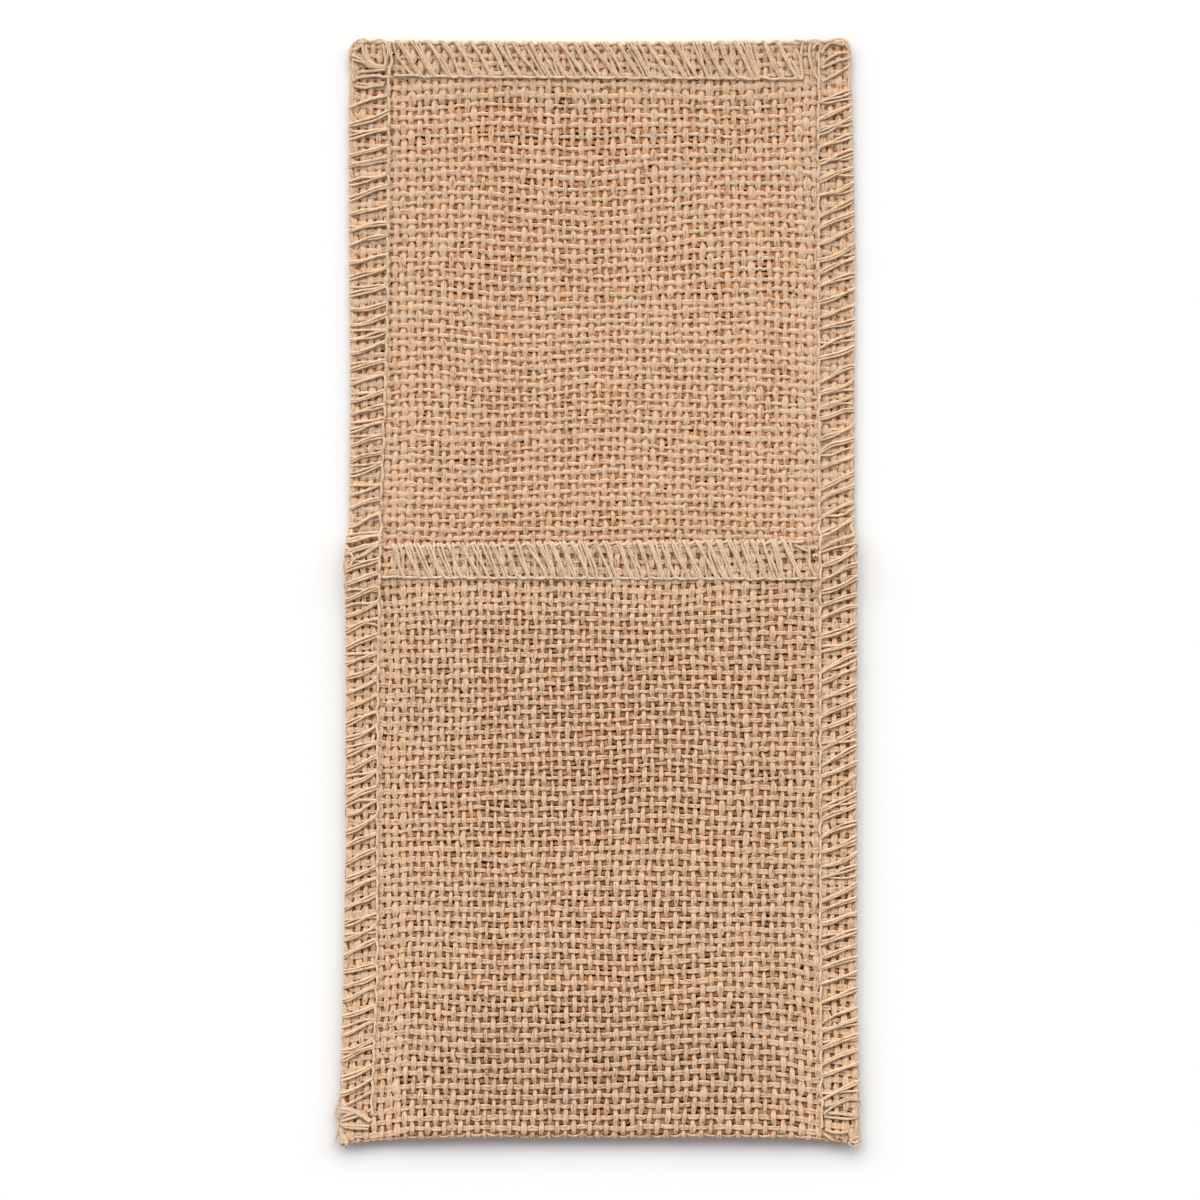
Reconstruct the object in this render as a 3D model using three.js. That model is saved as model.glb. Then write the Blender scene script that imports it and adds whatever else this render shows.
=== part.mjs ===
// A cutlery pouch of open hessian. One strip of cloth is folded up at the bottom into a pocket, and its
// top, its two long sides and the pocket's mouth are overlocked. The sides' stitches go through both
// layers of the pocket. The pouch lies on its back panel with the pocket upwards.
// Millimetres. +Z is up, +Y runs to the top edge, +X to the right, and the origin is the middle of the
// pouch on the surface that it lies on.

import * as THREE from 'three';

// The strip of cloth
const clothThickness = 1.2;
const pressedThickness = 1.0; // under the overlock stitches
const pouchTop = 120;
const topDip = 0.6; // the top edge sags this much at its middle
const foldLow = -120; // the fold's ends, at the side seams
const foldRise = 1.4; // the fold's middle lies this much higher
const mouthHeight = 10.9; // the pocket's mouth, at its middle
const mouthSlant = 0.011; // it climbs a little to the right
const halfWidth = 55;

// The pouch's two sides, from its top to its fold
const sides = [
  { y: 120, left: -53.0, right: 54.3 },
  { y: 116, left: -53.8, right: 54.5 },
  { y: 107, left: -54.1, right: 54.7 },
  { y: 74, left: -54.0, right: 55.4 },
  { y: 42, left: -53.7, right: 55.2 },
  { y: 14, left: -54.0, right: 55.3 },
  { y: 9, left: -55.0, right: 55.9 },
  { y: -10, left: -54.7, right: 55.8 },
  { y: -55, left: -54.7, right: 55.8 },
  { y: -85, left: -55.3, right: 55.8 },
  { y: -108, left: -55.9, right: 56.3 },
  { y: -120, left: -56.2, right: 56.2 },
];

// The pocket's hollow, between its two layers
const seamGap = 0.3;
const foldGap = 1.3;
const crownGap = 5.9;
const crownRunIn = 21; // from the side seams to the crown
const crownRunUp = 34; // from the fold to the crown
const domeShare = 0.15; // this share of the crown is one arch from seam to seam
const mouthSeamGap = 1.2; // room in the seams for the edging of the mouth
const mouthSeamRun = 14;
const ripple = 0.12; // the crown's slow unevenness

// The overlocked edges
const bandWidth = 8;
const threadThickness = 0.4;
const clearance = 0.3;
const stitchPitch = 3.25;
const stitchRise = 0.25;
const stitchLean = 3; // from the edge to the needle line, along the edge
const leanFade = 9;
const noseDepth = 0.9; // the thread rounds the edge over this much
const noseWall = 1.05; // from the thread's outer edge to the room for the cloth
const bandMargin = 1.2; // the cloth stays pressed this far past the needle line
const bandEase = 6;
const layerDrop = 5; // above the mouth the side edging comes down to one layer

const cover = clearance + threadThickness;
const clothInset = noseWall + clearance;

// Where the grid of the cloth has its lines: distances from a side seam, from the top edge and up from
// the fold
const acrossSteps = [0, 4, 9, 12.5, 17, 22, 27.5, 34, 41, 48];
const topSteps = [0, 4.5, 9, 12.5, 17];
const backSpacing = 17;
const foldSegments = 7;
const foldSteps = [3, 7, 12, 18, 25, 33];
const frontSpacing = 13;
const mouthSteps = [17, 12.5, 9, 4.5, 0];

const colours = {
  cloth: 0xc7a280,
  edging: 0xd0ab88,
};

// Rises smoothly from 0 at start to 1 at end, which may be the smaller of the two
function ease(start, end, value) {
  return THREE.MathUtils.smoothstep((value - start) / (end - start), 0, 1);
}

// The height of the point on the sides' table at y, by its column
function side(column, y) {
  const below = sides.findIndex((row) => row.y <= y);
  if (below <= 0) {
    return sides[below === 0 ? 0 : sides.length - 1][column];
  }
  const high = sides[below - 1];
  const low = sides[below];
  return THREE.MathUtils.mapLinear(y, low.y, high.y, low[column], high[column]);
}

function topEdge(x) {
  return pouchTop - topDip * (1 - (x / halfWidth) ** 2);
}

function foldEdge(x) {
  return foldLow + foldRise * (1 - (x / halfWidth) ** 6);
}

function mouthEdge(x) {
  return mouthHeight + mouthSlant * x;
}

function distanceToSide(x, y) {
  return Math.min(x - side('left', y), side('right', y) - x);
}

// 1 where a band of stitches presses the cloth, 0 away from it
function pressed(distance) {
  return 1 - ease(bandWidth + bandMargin, bandWidth + bandMargin + bandEase, distance);
}

function backUnderside(x, y) {
  return cover * pressed(Math.min(distanceToSide(x, y), topEdge(x) - y));
}

function backThickness(x, y) {
  const press = pressed(Math.min(distanceToSide(x, y), topEdge(x) - y));
  return THREE.MathUtils.lerp(clothThickness, pressedThickness, press);
}

function frontThickness(x, y) {
  const press = pressed(Math.min(distanceToSide(x, y), mouthEdge(x) - y));
  return THREE.MathUtils.lerp(clothThickness, pressedThickness, press);
}

// The height of the hollow between the two layers
function hollow(x, y) {
  const inward = distanceToSide(x, y) - bandWidth - bandMargin;
  const up = y - foldEdge(x);
  const nearMouth = ease(mouthSeamRun, mouthSeamRun / 2, mouthEdge(x) - y);
  const atSeam = THREE.MathUtils.lerp(seamGap, mouthSeamGap, nearMouth);
  const atFold = THREE.MathUtils.lerp(seamGap, foldGap, ease(0, bandEase, inward));
  const low = Math.max(atSeam, atFold);
  const arch = 1 - (x / halfWidth) ** 2;
  const across = THREE.MathUtils.lerp(ease(0, crownRunIn, inward), arch, domeShare);
  const crown = across * ease(0, bandEase, inward) * ease(0, crownRunUp, up);
  const wave = ripple * Math.sin(x / 9 + y / 15) * Math.sin(y / 21);
  return low + (crownGap - low + wave) * crown;
}

function frontUnderside(x, y) {
  return backUnderside(x, y) + backThickness(x, y) + hollow(x, y);
}

// A closed solid from two grids of points that share their rims. Each grid is a list of rows.
function sheetGeometry(upper, lower) {
  const rowCount = upper.length;
  const columnCount = upper[0].length;
  const points = [...upper.flat(), ...lower.flat()];
  const half = rowCount * columnCount;
  const faces = [];
  const quad = (a, b, c, d) => faces.push(a, b, c, a, c, d);
  for (let row = 0; row + 1 < rowCount; row += 1) {
    for (let column = 0; column + 1 < columnCount; column += 1) {
      const a = row * columnCount + column;
      const b = a + 1;
      const c = b + columnCount;
      const d = a + columnCount;
      quad(a, d, c, b);
      quad(a + half, b + half, c + half, d + half);
    }
  }
  for (let row = 0; row + 1 < rowCount; row += 1) {
    const first = row * columnCount;
    const last = first + columnCount - 1;
    quad(first, first + half, first + columnCount + half, first + columnCount);
    quad(last + columnCount, last + columnCount + half, last + half, last);
  }
  for (let column = 0; column + 1 < columnCount; column += 1) {
    const end = (rowCount - 1) * columnCount + column;
    quad(column + 1, column + 1 + half, column + half, column);
    quad(end, end + half, end + 1 + half, end + 1);
  }
  return geometryOf(points, faces);
}

// A closed solid through a run of like sections, with flat ends. Each section has its points in space
// and its outline in its own plane. mirrored says that the run goes the other way round its edge.
function runGeometry(sections, mirrored) {
  const size = sections[0].points.length;
  const points = sections.flatMap((section) => section.points);
  const faces = [];
  for (let step = 0; step + 1 < sections.length; step += 1) {
    for (let corner = 0; corner < size; corner += 1) {
      const next = (corner + 1) % size;
      const a = step * size + corner;
      const b = step * size + next;
      faces.push(a, b, b + size, a, b + size, a + size);
    }
  }
  const lastStart = (sections.length - 1) * size;
  const firstCap = THREE.ShapeUtils.triangulateShape(sections[0].outline, []);
  const lastCap = THREE.ShapeUtils.triangulateShape(sections.at(-1).outline, []);
  firstCap.forEach(([a, b, c]) => faces.push(a, c, b));
  lastCap.forEach(([a, b, c]) => faces.push(a + lastStart, b + lastStart, c + lastStart));
  return geometryOf(points, mirrored ? faces.reverse() : faces);
}

function geometryOf(points, faces) {
  const geometry = new THREE.BufferGeometry();
  geometry.setFromPoints(points);
  geometry.setIndex(faces);
  geometry.computeVertexNormals();
  return geometry;
}

// Even steps between two numbers, both left out
function between(start, end, spacing) {
  const count = Math.round(Math.abs(end - start) / spacing);
  return Array.from({ length: count - 1 }, (_, step) => start + ((end - start) * (step + 1)) / count);
}

// The lines across the cloth, as fractions of its width
function acrossFractions() {
  const left = acrossSteps.map((step) => step / (2 * halfWidth));
  const right = left.map((fraction) => 1 - fraction).reverse();
  return [...left, 0.5, ...right];
}

// The heights of the back panel's lines in one column, from its top edge to where the fold starts
function backLines(top, bottom) {
  const near = topSteps.map((step) => top - step);
  return [...near, ...between(near.at(-1), bottom, backSpacing), bottom];
}

function frontLines(bottom, mouth) {
  const near = foldSteps.map((step) => bottom + step);
  const last = mouthSteps.map((step) => mouth - step);
  return [bottom, ...near, ...between(near.at(-1), last[0], frontSpacing), ...last];
}

// One column of the folded strip: its outer and inner points, from the top edge round to the mouth
function stripColumn(fraction) {
  const across = (y) => {
    const left = side('left', y) + clothInset;
    const right = side('right', y) - clothInset;
    return THREE.MathUtils.lerp(left, right, fraction);
  };
  const atFold = across(foldLow);
  const foldY = foldEdge(atFold);
  const thickness = backThickness(atFold, foldY);
  const radius = (hollow(atFold, foldY) + thickness) / 2;
  const centreY = foldY + radius + thickness / 2;
  const centreZ = backUnderside(atFold, foldY) + thickness / 2 + radius;
  const outer = [];
  const inner = [];
  const plainX = across(0);
  for (const y of backLines(topEdge(plainX) - clothInset, centreY)) {
    const x = across(y);
    const z = backUnderside(x, y);
    outer.push(new THREE.Vector3(x, y, z));
    inner.push(new THREE.Vector3(x, y, z + backThickness(x, y)));
  }
  for (let step = 1; step < foldSegments; step += 1) {
    const angle = -Math.PI / 2 - (Math.PI * step) / foldSegments;
    const [out, into] = [radius + thickness / 2, radius - thickness / 2];
    const x = across(centreY);
    outer.push(new THREE.Vector3(x, centreY + out * Math.cos(angle), centreZ + out * Math.sin(angle)));
    inner.push(new THREE.Vector3(x, centreY + into * Math.cos(angle), centreZ + into * Math.sin(angle)));
  }
  for (const y of frontLines(centreY, mouthEdge(plainX) - clothInset)) {
    const x = across(y);
    const z = frontUnderside(x, y);
    inner.push(new THREE.Vector3(x, y, z));
    outer.push(new THREE.Vector3(x, y, z + frontThickness(x, y)));
  }
  return { outer, inner };
}

function buildCloth() {
  const columns = acrossFractions().map(stripColumn);
  const outer = columns.map((column) => column.outer);
  const inner = columns.map((column) => column.inner);
  return sheetGeometry(outer, inner);
}

// The overlock thread round one cloth edge, as a ribbed casing with a rib for each stitch. start and end
// are lengths along the edge, place(along, inward) is the point in plan, and levels(x, y) gives the
// underside and the top of the cloth that it holds.
function buildEdging({ start, end, lean, place, levels }) {
  const stitches = Math.round((end - start) / stitchPitch);
  const sections = [];
  for (let step = 0; step <= 2 * stitches; step += 1) {
    const along = start + ((end - start) * step) / (2 * stitches);
    const rise = step % 2 === 1 ? stitchRise : 0;
    const fade = ease(0, leanFade, Math.min(along - start, end - along));
    const shape = [
      [bandWidth, 'low', -clearance],
      [noseWall, 'low', -clearance],
      [noseWall, 'high', clearance],
      [bandWidth, 'high', clearance],
      [bandWidth, 'high', cover],
      [bandWidth * 0.55, 'high', cover + rise],
      [noseDepth, 'high', cover + rise],
      [-rise, 'middle', 0],
      [noseDepth, 'low', -cover],
      [bandWidth, 'low', -cover],
    ];
    const points = [];
    const outline = [];
    for (const [inward, level, offset] of shape) {
      const shifted = along + lean * fade * (inward / bandWidth - 0.5);
      const plan = place(shifted, inward);
      const held = place(shifted, Math.max(inward, clothInset));
      const [low, high] = levels(held.x, held.y);
      const z = { low, high, middle: (low + high) / 2 }[level] + offset;
      points.push(new THREE.Vector3(plan.x, plan.y, z));
      outline.push(new THREE.Vector2(inward, z));
    }
    sections.push({ points, outline });
  }
  const forward = place(end, 0).sub(place(start, 0));
  const inwards = place(start, bandWidth).sub(place(start, 0));
  return runGeometry(sections, forward.cross(inwards) < 0);
}

// The one or two layers that a side's stitches hold at height y
function sideLevels(x, y) {
  const low = cover;
  const single = low + pressedThickness;
  const mouth = mouthEdge(x);
  const inSeam = ease(mouthSeamRun, mouthSeamRun / 2, mouth - Math.min(y, mouth));
  const seam = THREE.MathUtils.lerp(seamGap, mouthSeamGap, inSeam);
  const double = single + seam + pressedThickness;
  const aboveMouth = ease(mouth + clearance, mouth + layerDrop, y);
  return [low, THREE.MathUtils.lerp(double, single, aboveMouth)];
}

function buildLeftEdging() {
  const top = topEdge(-halfWidth) - bandWidth - clearance;
  return buildEdging({
    start: foldLow,
    end: top,
    lean: stitchLean,
    place: (y, inward) => new THREE.Vector2(side('left', y) + inward, y),
    levels: sideLevels,
  });
}

function buildRightEdging() {
  return buildEdging({
    start: foldLow,
    end: pouchTop,
    lean: -stitchLean,
    place: (y, inward) => new THREE.Vector2(side('right', y) - inward, y),
    levels: sideLevels,
  });
}

function buildTopEdging() {
  const endX = side('right', pouchTop - bandWidth) - bandWidth - clearance;
  return buildEdging({
    start: side('left', pouchTop),
    end: endX,
    lean: stitchLean,
    place: (x, inward) => new THREE.Vector2(x, topEdge(x) - inward),
    levels: () => [cover, cover + pressedThickness],
  });
}

function buildMouthEdging() {
  const startX = side('left', mouthHeight - bandWidth) + bandWidth + clearance;
  const endX = side('right', mouthHeight) - bandWidth - clearance;
  return buildEdging({
    start: startX,
    end: endX,
    lean: stitchLean,
    place: (x, inward) => new THREE.Vector2(x, mouthEdge(x) - inward),
    levels: (x, y) => {
      const low = frontUnderside(x, y);
      return [low, low + pressedThickness];
    },
  });
}

function piece(name, geometry, colour) {
  const material = new THREE.MeshStandardMaterial({ color: colour, roughness: 0.95, metalness: 0 });
  const mesh = new THREE.Mesh(geometry, material);
  mesh.name = name;
  return mesh;
}

const pouch = new THREE.Group();
pouch.add(piece('cloth', buildCloth(), colours.cloth));
pouch.add(piece('edging_top', buildTopEdging(), colours.edging));
pouch.add(piece('edging_left', buildLeftEdging(), colours.edging));
pouch.add(piece('edging_right', buildRightEdging(), colours.edging));
pouch.add(piece('edging_mouth', buildMouthEdging(), colours.edging));

export default pouch;
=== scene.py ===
# The looks of a cutlery pouch of open hessian: its weave yarn by yarn, its overlock stitches and its
# stray fibres. Sizes are in millimetres in the pouch's own frame, and meshes are written in metres.
import math

import bpy
import numpy as np
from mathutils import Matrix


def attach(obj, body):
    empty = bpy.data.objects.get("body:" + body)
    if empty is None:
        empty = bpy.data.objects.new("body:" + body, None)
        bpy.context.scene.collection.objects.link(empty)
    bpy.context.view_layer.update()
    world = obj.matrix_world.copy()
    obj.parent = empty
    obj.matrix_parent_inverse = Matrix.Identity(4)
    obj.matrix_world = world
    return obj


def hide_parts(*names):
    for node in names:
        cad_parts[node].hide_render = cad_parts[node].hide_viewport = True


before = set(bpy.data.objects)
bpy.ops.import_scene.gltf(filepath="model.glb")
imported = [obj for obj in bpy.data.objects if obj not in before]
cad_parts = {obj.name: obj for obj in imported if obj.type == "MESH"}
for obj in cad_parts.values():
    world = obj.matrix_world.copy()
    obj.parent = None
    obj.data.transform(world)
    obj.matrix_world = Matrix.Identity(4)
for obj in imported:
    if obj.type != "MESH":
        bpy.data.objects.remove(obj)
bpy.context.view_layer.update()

metresPerMm = 0.001
softness = 1.8  # how much flatter the loose fibres of a yarn are lit than a smooth rod
tableGap = 0.02  # no thread lies lower than this above the table
body = "root"
print("frame loaded")

# The pouch's form, as its maker laid it down

pouch = {
    "top": 120.0,
    "topDip": 0.6,  # the top edge sags this much at its middle
    "fold": -120.0,
    "foldRise": 1.4,  # the fold's middle lies this much higher than its ends
    "mouth": 10.9,
    "mouthSlant": 0.011,
    "halfWidth": 55.0,
    "sides": [  # height, left and right
        (120, -53.0, 54.3),
        (116, -53.8, 54.5),
        (107, -54.1, 54.7),
        (74, -54.0, 55.4),
        (42, -53.7, 55.2),
        (14, -54.0, 55.3),
        (9, -55.0, 55.9),
        (-10, -54.7, 55.8),
        (-55, -54.7, 55.8),
        (-85, -55.3, 55.8),
        (-108, -55.9, 56.3),
        (-120, -56.2, 56.2),
    ],
}

hollow = {
    "seamGap": 0.3,
    "foldGap": 1.3,
    "crownGap": 5.9,
    "runIn": 21.0,  # from the side seams to the crown
    "runUp": 34.0,  # from the fold to the crown
    "domeShare": 0.15,  # of the crown, which is one plain arch from side to side
    "mouthSeamGap": 1.2,
    "mouthSeamRun": 14.0,
}

band = {
    "width": 8.0,  # from the edge to the needle line
    "margin": 1.2,
    "ease": 6.0,
}

cloth = {
    "thickness": 1.2,
    "pressed": 1.0,  # under the stitches
    "restHeight": 0.72,  # of the back panel's middle layer above the table
    "looseLift": 0.12,  # where it isn't sewn, the cloth lies this much higher and waves as much
    "looseWaves": (11, 17),
    "seamLift": 0.5,  # the stitches below the edges lift them
    "inset": 0.55,  # from the stitched edge to the cut cloth
    "halfDepth": 0.6,  # from the middle of the weave to its yarns' tops
    "backLength": 238.0,
    "foldLength": 3.9,
    "frontLength": 128.8,
    "foldBlend": 3.0,  # either side of the fold's start, where the pocket's weave takes over
}

clothLength = cloth["backLength"] + cloth["foldLength"] + cloth["frontLength"]
clothWidth = 2 * pouch["halfWidth"]


def ease(start, end, value):
    part = np.clip((value - start) / (end - start), 0, 1)
    return part * part * (3 - 2 * part)


def mix(low, high, share):
    return low + (high - low) * share


def sideAt(column, y):
    rows = np.array(pouch["sides"])[::-1]
    return np.interp(y, rows[:, 0], rows[:, column])


def topEdge(x):
    return pouch["top"] - pouch["topDip"] * (1 - (x / pouch["halfWidth"]) ** 2)


def foldEdge(x):
    return pouch["fold"] + pouch["foldRise"] * (1 - np.abs(x / pouch["halfWidth"]) ** 6)


def mouthEdge(x):
    return pouch["mouth"] + pouch["mouthSlant"] * x


def sideDistance(x, y):
    return np.minimum(x - sideAt(1, y), sideAt(2, y) - x)


def pressedAt(distance):
    start = band["width"] + band["margin"]
    return 1 - ease(start, start + band["ease"], distance)


def backMiddle(x, y):
    pressed = pressedAt(np.minimum(sideDistance(x, y), topEdge(x) - y))
    lift, (waveX, waveY) = cloth["looseLift"], cloth["looseWaves"]
    loose = lift + lift * np.sin(x / waveX + 1.3) * np.sin(y / waveY + 0.4)
    return cloth["restHeight"] + cloth["seamLift"] * pressed + loose * (1 - pressed)


def hollowAt(x, y):
    inward = sideDistance(x, y) - band["width"] - band["margin"]
    nearMouth = ease(hollow["mouthSeamRun"], hollow["mouthSeamRun"] / 2, mouthEdge(x) - y)
    atSeam = mix(hollow["seamGap"], hollow["mouthSeamGap"], nearMouth)
    atFold = mix(hollow["seamGap"], hollow["foldGap"], ease(0, band["ease"], inward))
    low = np.maximum(atSeam, atFold)
    arch = 1 - (x / pouch["halfWidth"]) ** 2
    across = mix(ease(0, hollow["runIn"], inward), arch, hollow["domeShare"])
    crown = across * ease(0, band["ease"], inward) * ease(0, hollow["runUp"], y - foldEdge(x))
    return low + (hollow["crownGap"] - low) * crown


def frontMiddle(x, y):
    pressed = pressedAt(np.minimum(sideDistance(x, y), mouthEdge(x) - y))
    return backMiddle(x, y) + mix(cloth["thickness"], cloth["pressed"], pressed) + hollowAt(x, y)


# A point of the strip: across runs from its left cut edge, 0, to its right one, 1, and along in mm from
# the top edge down the back, round the fold and up to the mouth
def stripPoint(across, along):
    def xAt(y):
        left, right = sideAt(1, y) + cloth["inset"], sideAt(2, y) - cloth["inset"]
        return mix(left, right, across)

    plainX = xAt(pouch["mouth"])
    fold = foldEdge(xAt(pouch["fold"]))
    foldX = xAt(pouch["fold"] + 2)  # just above the fold, clear of its corners
    radius = (frontMiddle(foldX, fold + 1) - backMiddle(foldX, fold + 1)) / 2
    centreY = fold + radius + cloth["thickness"] / 2
    top = topEdge(plainX) - cloth["inset"]
    mouth = mouthEdge(plainX) - cloth["inset"]
    onBack = np.minimum(along / cloth["backLength"], 1)
    turn = np.clip((along - cloth["backLength"]) / cloth["foldLength"], 0, 1) * math.pi
    onFront = np.maximum((along - cloth["backLength"] - cloth["foldLength"]) / cloth["frontLength"], 0)
    y = mix(top, centreY, onBack) - radius * np.sin(turn) + (mouth - centreY) * onFront
    x = xAt(np.maximum(y, pouch["fold"]))
    arcZ = backMiddle(foldX, centreY) + radius * (1 - np.cos(turn))
    z = np.where(onFront > 0, frontMiddle(x, y), np.where(turn > 0, arcZ, backMiddle(x, y)))
    return np.stack(np.broadcast_arrays(x, y, z), axis=-1)


def unit(vectors):
    length = np.linalg.norm(vectors, axis=-1, keepdims=True)
    return vectors / np.maximum(length, 1e-9)


# The strip's point and its normal, which faces into the pocket
def stripFrame(across, along):
    stepAcross, stepAlong = 0.004, 0.3
    sideways = stripPoint(across + stepAcross, along) - stripPoint(across - stepAcross, along)
    onwards = stripPoint(across, along + stepAlong) - stripPoint(across, along - stepAlong)
    return stripPoint(across, along), unit(np.cross(onwards, sideways))


# Smooth unevenness, mostly between -1 and 1

def unevenField(seed, wavelength, count=9):
    draw = np.random.default_rng(seed)
    angle = draw.uniform(0, 2 * math.pi, count)
    step = 2 * math.pi / (wavelength * draw.uniform(0.7, 1.5, count))
    phase = draw.uniform(0, 2 * math.pi, count)

    def field(x, y):
        parts = [np.sin(s * (x * math.cos(a) + y * math.sin(a)) + p) for a, s, p in zip(angle, step, phase)]
        return sum(parts) / math.sqrt(2 * count)

    return field


# One uneven line for each yarn, read at the places in steps
def unevenLines(seed, yarns, steps, wavelength, count=6):
    draw = np.random.default_rng(seed)
    step = 2 * math.pi / (wavelength * draw.uniform(0.6, 1.6, (yarns, count, 1)))
    phase = draw.uniform(0, 2 * math.pi, (yarns, count, 1))
    return np.sin(step * steps[None, None, :] + phase).sum(axis=1) / math.sqrt(2 * count)


# Reads a smooth line through the values along the first axis at fractional places
def smoothRead(values, places):
    last = len(values) - 1
    base = np.clip(np.floor(places).astype(int), 0, last - 1)
    part = (places - base).reshape((-1,) + (1,) * (values.ndim - 1))
    before, here = values[np.maximum(base - 1, 0)], values[base]
    after, beyond = values[base + 1], values[np.minimum(base + 2, last)]
    bend = 2 * before - 5 * here + 4 * after - beyond
    twist = -before + 3 * here - 3 * after + beyond
    return here + 0.5 * part * (after - before + part * (bend + part * twist))


# Tubes, which are collected in a batch and then made into one mesh

# Adds tubes through centre, an array of tubes by points by xyz. up is the way that thick is measured,
# rise is how high the centre lies over the middle of its cloth, and sink moves the widest place down.
# spot, across, groove, depth and tone tell the material where on its yarn a point lies.
def addTubes(batch, centre, up, width, thick, sides, tone, groove=0.0, rise=0.45, sink=0.0):
    count, points = centre.shape[:2]
    onwards = unit(np.gradient(centre, axis=1))
    sideways = unit(np.cross(np.broadcast_to(up, centre.shape), onwards))
    upwards = np.cross(onwards, sideways)
    angle = 2 * math.pi * np.arange(sides) / sides + math.pi / 2
    width, thick, groove, tone, sink = (
        np.broadcast_to(np.asarray(v, float), (count, points)) for v in (width, thick, groove, tone, sink)
    )

    def around(out, high):
        return sideways[:, :, None, :] * out[..., None] + upwards[:, :, None, :] * high[..., None]

    out = np.cos(angle) * width[..., None] / 2
    high = (np.sin(angle) - np.cos(angle) ** 4 * sink[..., None]) * thick[..., None] / 2
    rings = centre[:, :, None, :] + around(out, high)
    rings[..., 2] = np.maximum(rings[..., 2], tableGap)
    fall = 4 * np.cos(angle) ** 3 * np.sin(angle) * sink[..., None]
    facing = around((np.cos(angle) + fall) * thick[..., None], np.sin(angle) * width[..., None] * softness)
    steps = np.linalg.norm(np.diff(centre, axis=1), axis=-1)
    length = np.concatenate([np.zeros((count, 1)), np.cumsum(steps, axis=1)], axis=1)
    start = 53.0 * len(batch) + 37.0 * np.arange(count)[:, None]  # so that no two tubes look alike
    spots = np.stack([np.broadcast_to((length + start)[..., None], out.shape), out, high], axis=-1)
    batch.append(
        {
            "rings": rings,
            "facing": unit(facing),
            "spot": spots,
            "tone": np.broadcast_to(tone[..., None], out.shape),
            "across": np.broadcast_to(np.cos(angle), out.shape),
            "groove": np.broadcast_to(groove[..., None], out.shape),
            "depth": np.abs(np.broadcast_to(rise, (count, points))[..., None] + high) / cloth["halfDepth"],
            "steps": steps,
            "girth": float(np.mean(width + thick) * math.pi / 2),
        }
    )


flatMap = {
    "rowHeight": 1.15,  # of the widest tube's girth
    "rowLength": 1.03,  # of what a square would need
    "gap": 0.15,  # of a row's height, between two tubes in a row
    "margin": 0.06,  # below a tube in its row
    "lane": 0.88,  # of a row's height, which a tube fills
    "cap": 0.4,  # of a row's height, the radius of a tube's end
}


# Lays every tube out flat in rows of one square map, cut where a row is full
def layOut(groups):
    rowHeight = max(group["girth"] for group in groups) * flatMap["rowHeight"]
    caps = sum(2 * len(group["rings"]) for group in groups)
    total = sum(float(group["steps"].sum()) for group in groups) + caps * rowHeight
    rowLength = math.sqrt(total * rowHeight) * flatMap["rowLength"]
    row, reached = 0, 0.0
    for group in groups:
        count, faces = group["steps"].shape
        starts, rows = np.zeros((count, faces)), np.zeros((count, faces))
        for tube in range(count):
            ends = np.cumsum(group["steps"][tube])
            done, first = 0.0, 0
            while first < faces:
                last = int(np.searchsorted(ends, done + rowLength - reached, side="right"))
                if last <= first:
                    row, reached = row + 1, 0.0
                    last = max(int(np.searchsorted(ends, done + rowLength, side="right")), first + 1)
                span = slice(first, last)
                starts[tube, span] = reached + ends[span] - group["steps"][tube, span] - done
                rows[tube, span] = row
                reached += ends[last - 1] - done + rowHeight * flatMap["gap"]
                done, first = ends[last - 1], last
        group["starts"], group["rows"] = starts, rows
    for group in groups:
        places = []
        for _ in range(2 * len(group["rings"])):
            if reached + rowHeight > rowLength:
                row, reached = row + 1, 0.0
            places.append((reached + rowHeight / 2, row + 0.5))
            reached += rowHeight
        group["capPlaces"] = np.array(places)
    return rowLength + rowHeight, row + 1, rowHeight


# The corners of a group's faces, how many each face has, and the corners' places on the flat map
def tubeFaces(group, offset, rowLength, rowCount, rowHeight):
    count, points, sides = group["rings"].shape[:3]
    vertex = offset + np.arange(count * points * sides).reshape(count, points, sides)
    turned = np.roll(vertex, -1, axis=2)
    quads = np.stack([vertex[:, :-1], turned[:, :-1], turned[:, 1:], vertex[:, 1:]], axis=-1)
    caps = np.concatenate([vertex[:, 0, ::-1], vertex[:, -1]], axis=0)
    u0 = group["starts"][..., None] / rowLength
    u1 = (group["starts"] + group["steps"])[..., None] / rowLength
    share = np.arange(sides) / sides
    v0 = (group["rows"][..., None] + flatMap["margin"] + flatMap["lane"] * share) / rowCount
    v1 = v0 + flatMap["lane"] / sides / rowCount
    u0, u1, v0, v1 = np.broadcast_arrays(u0, u1, v0, v1)
    quadMap = np.stack([u0, v0, u0, v1, u1, v1, u1, v0], axis=-1)
    angle = 2 * math.pi * share
    capU = (group["capPlaces"][:, :1] + flatMap["cap"] * rowHeight * np.cos(angle)) / rowLength
    capV = (group["capPlaces"][:, 1:] + flatMap["cap"] * np.sin(angle)) / rowCount
    corners = np.concatenate([quads.ravel(), caps.ravel()])
    sizes = np.concatenate([np.full(quads.size // 4, 4), np.full(len(caps), sides)])
    return corners, sizes, np.concatenate([quadMap.ravel(), np.stack([capU, capV], axis=-1).ravel()])


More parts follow.
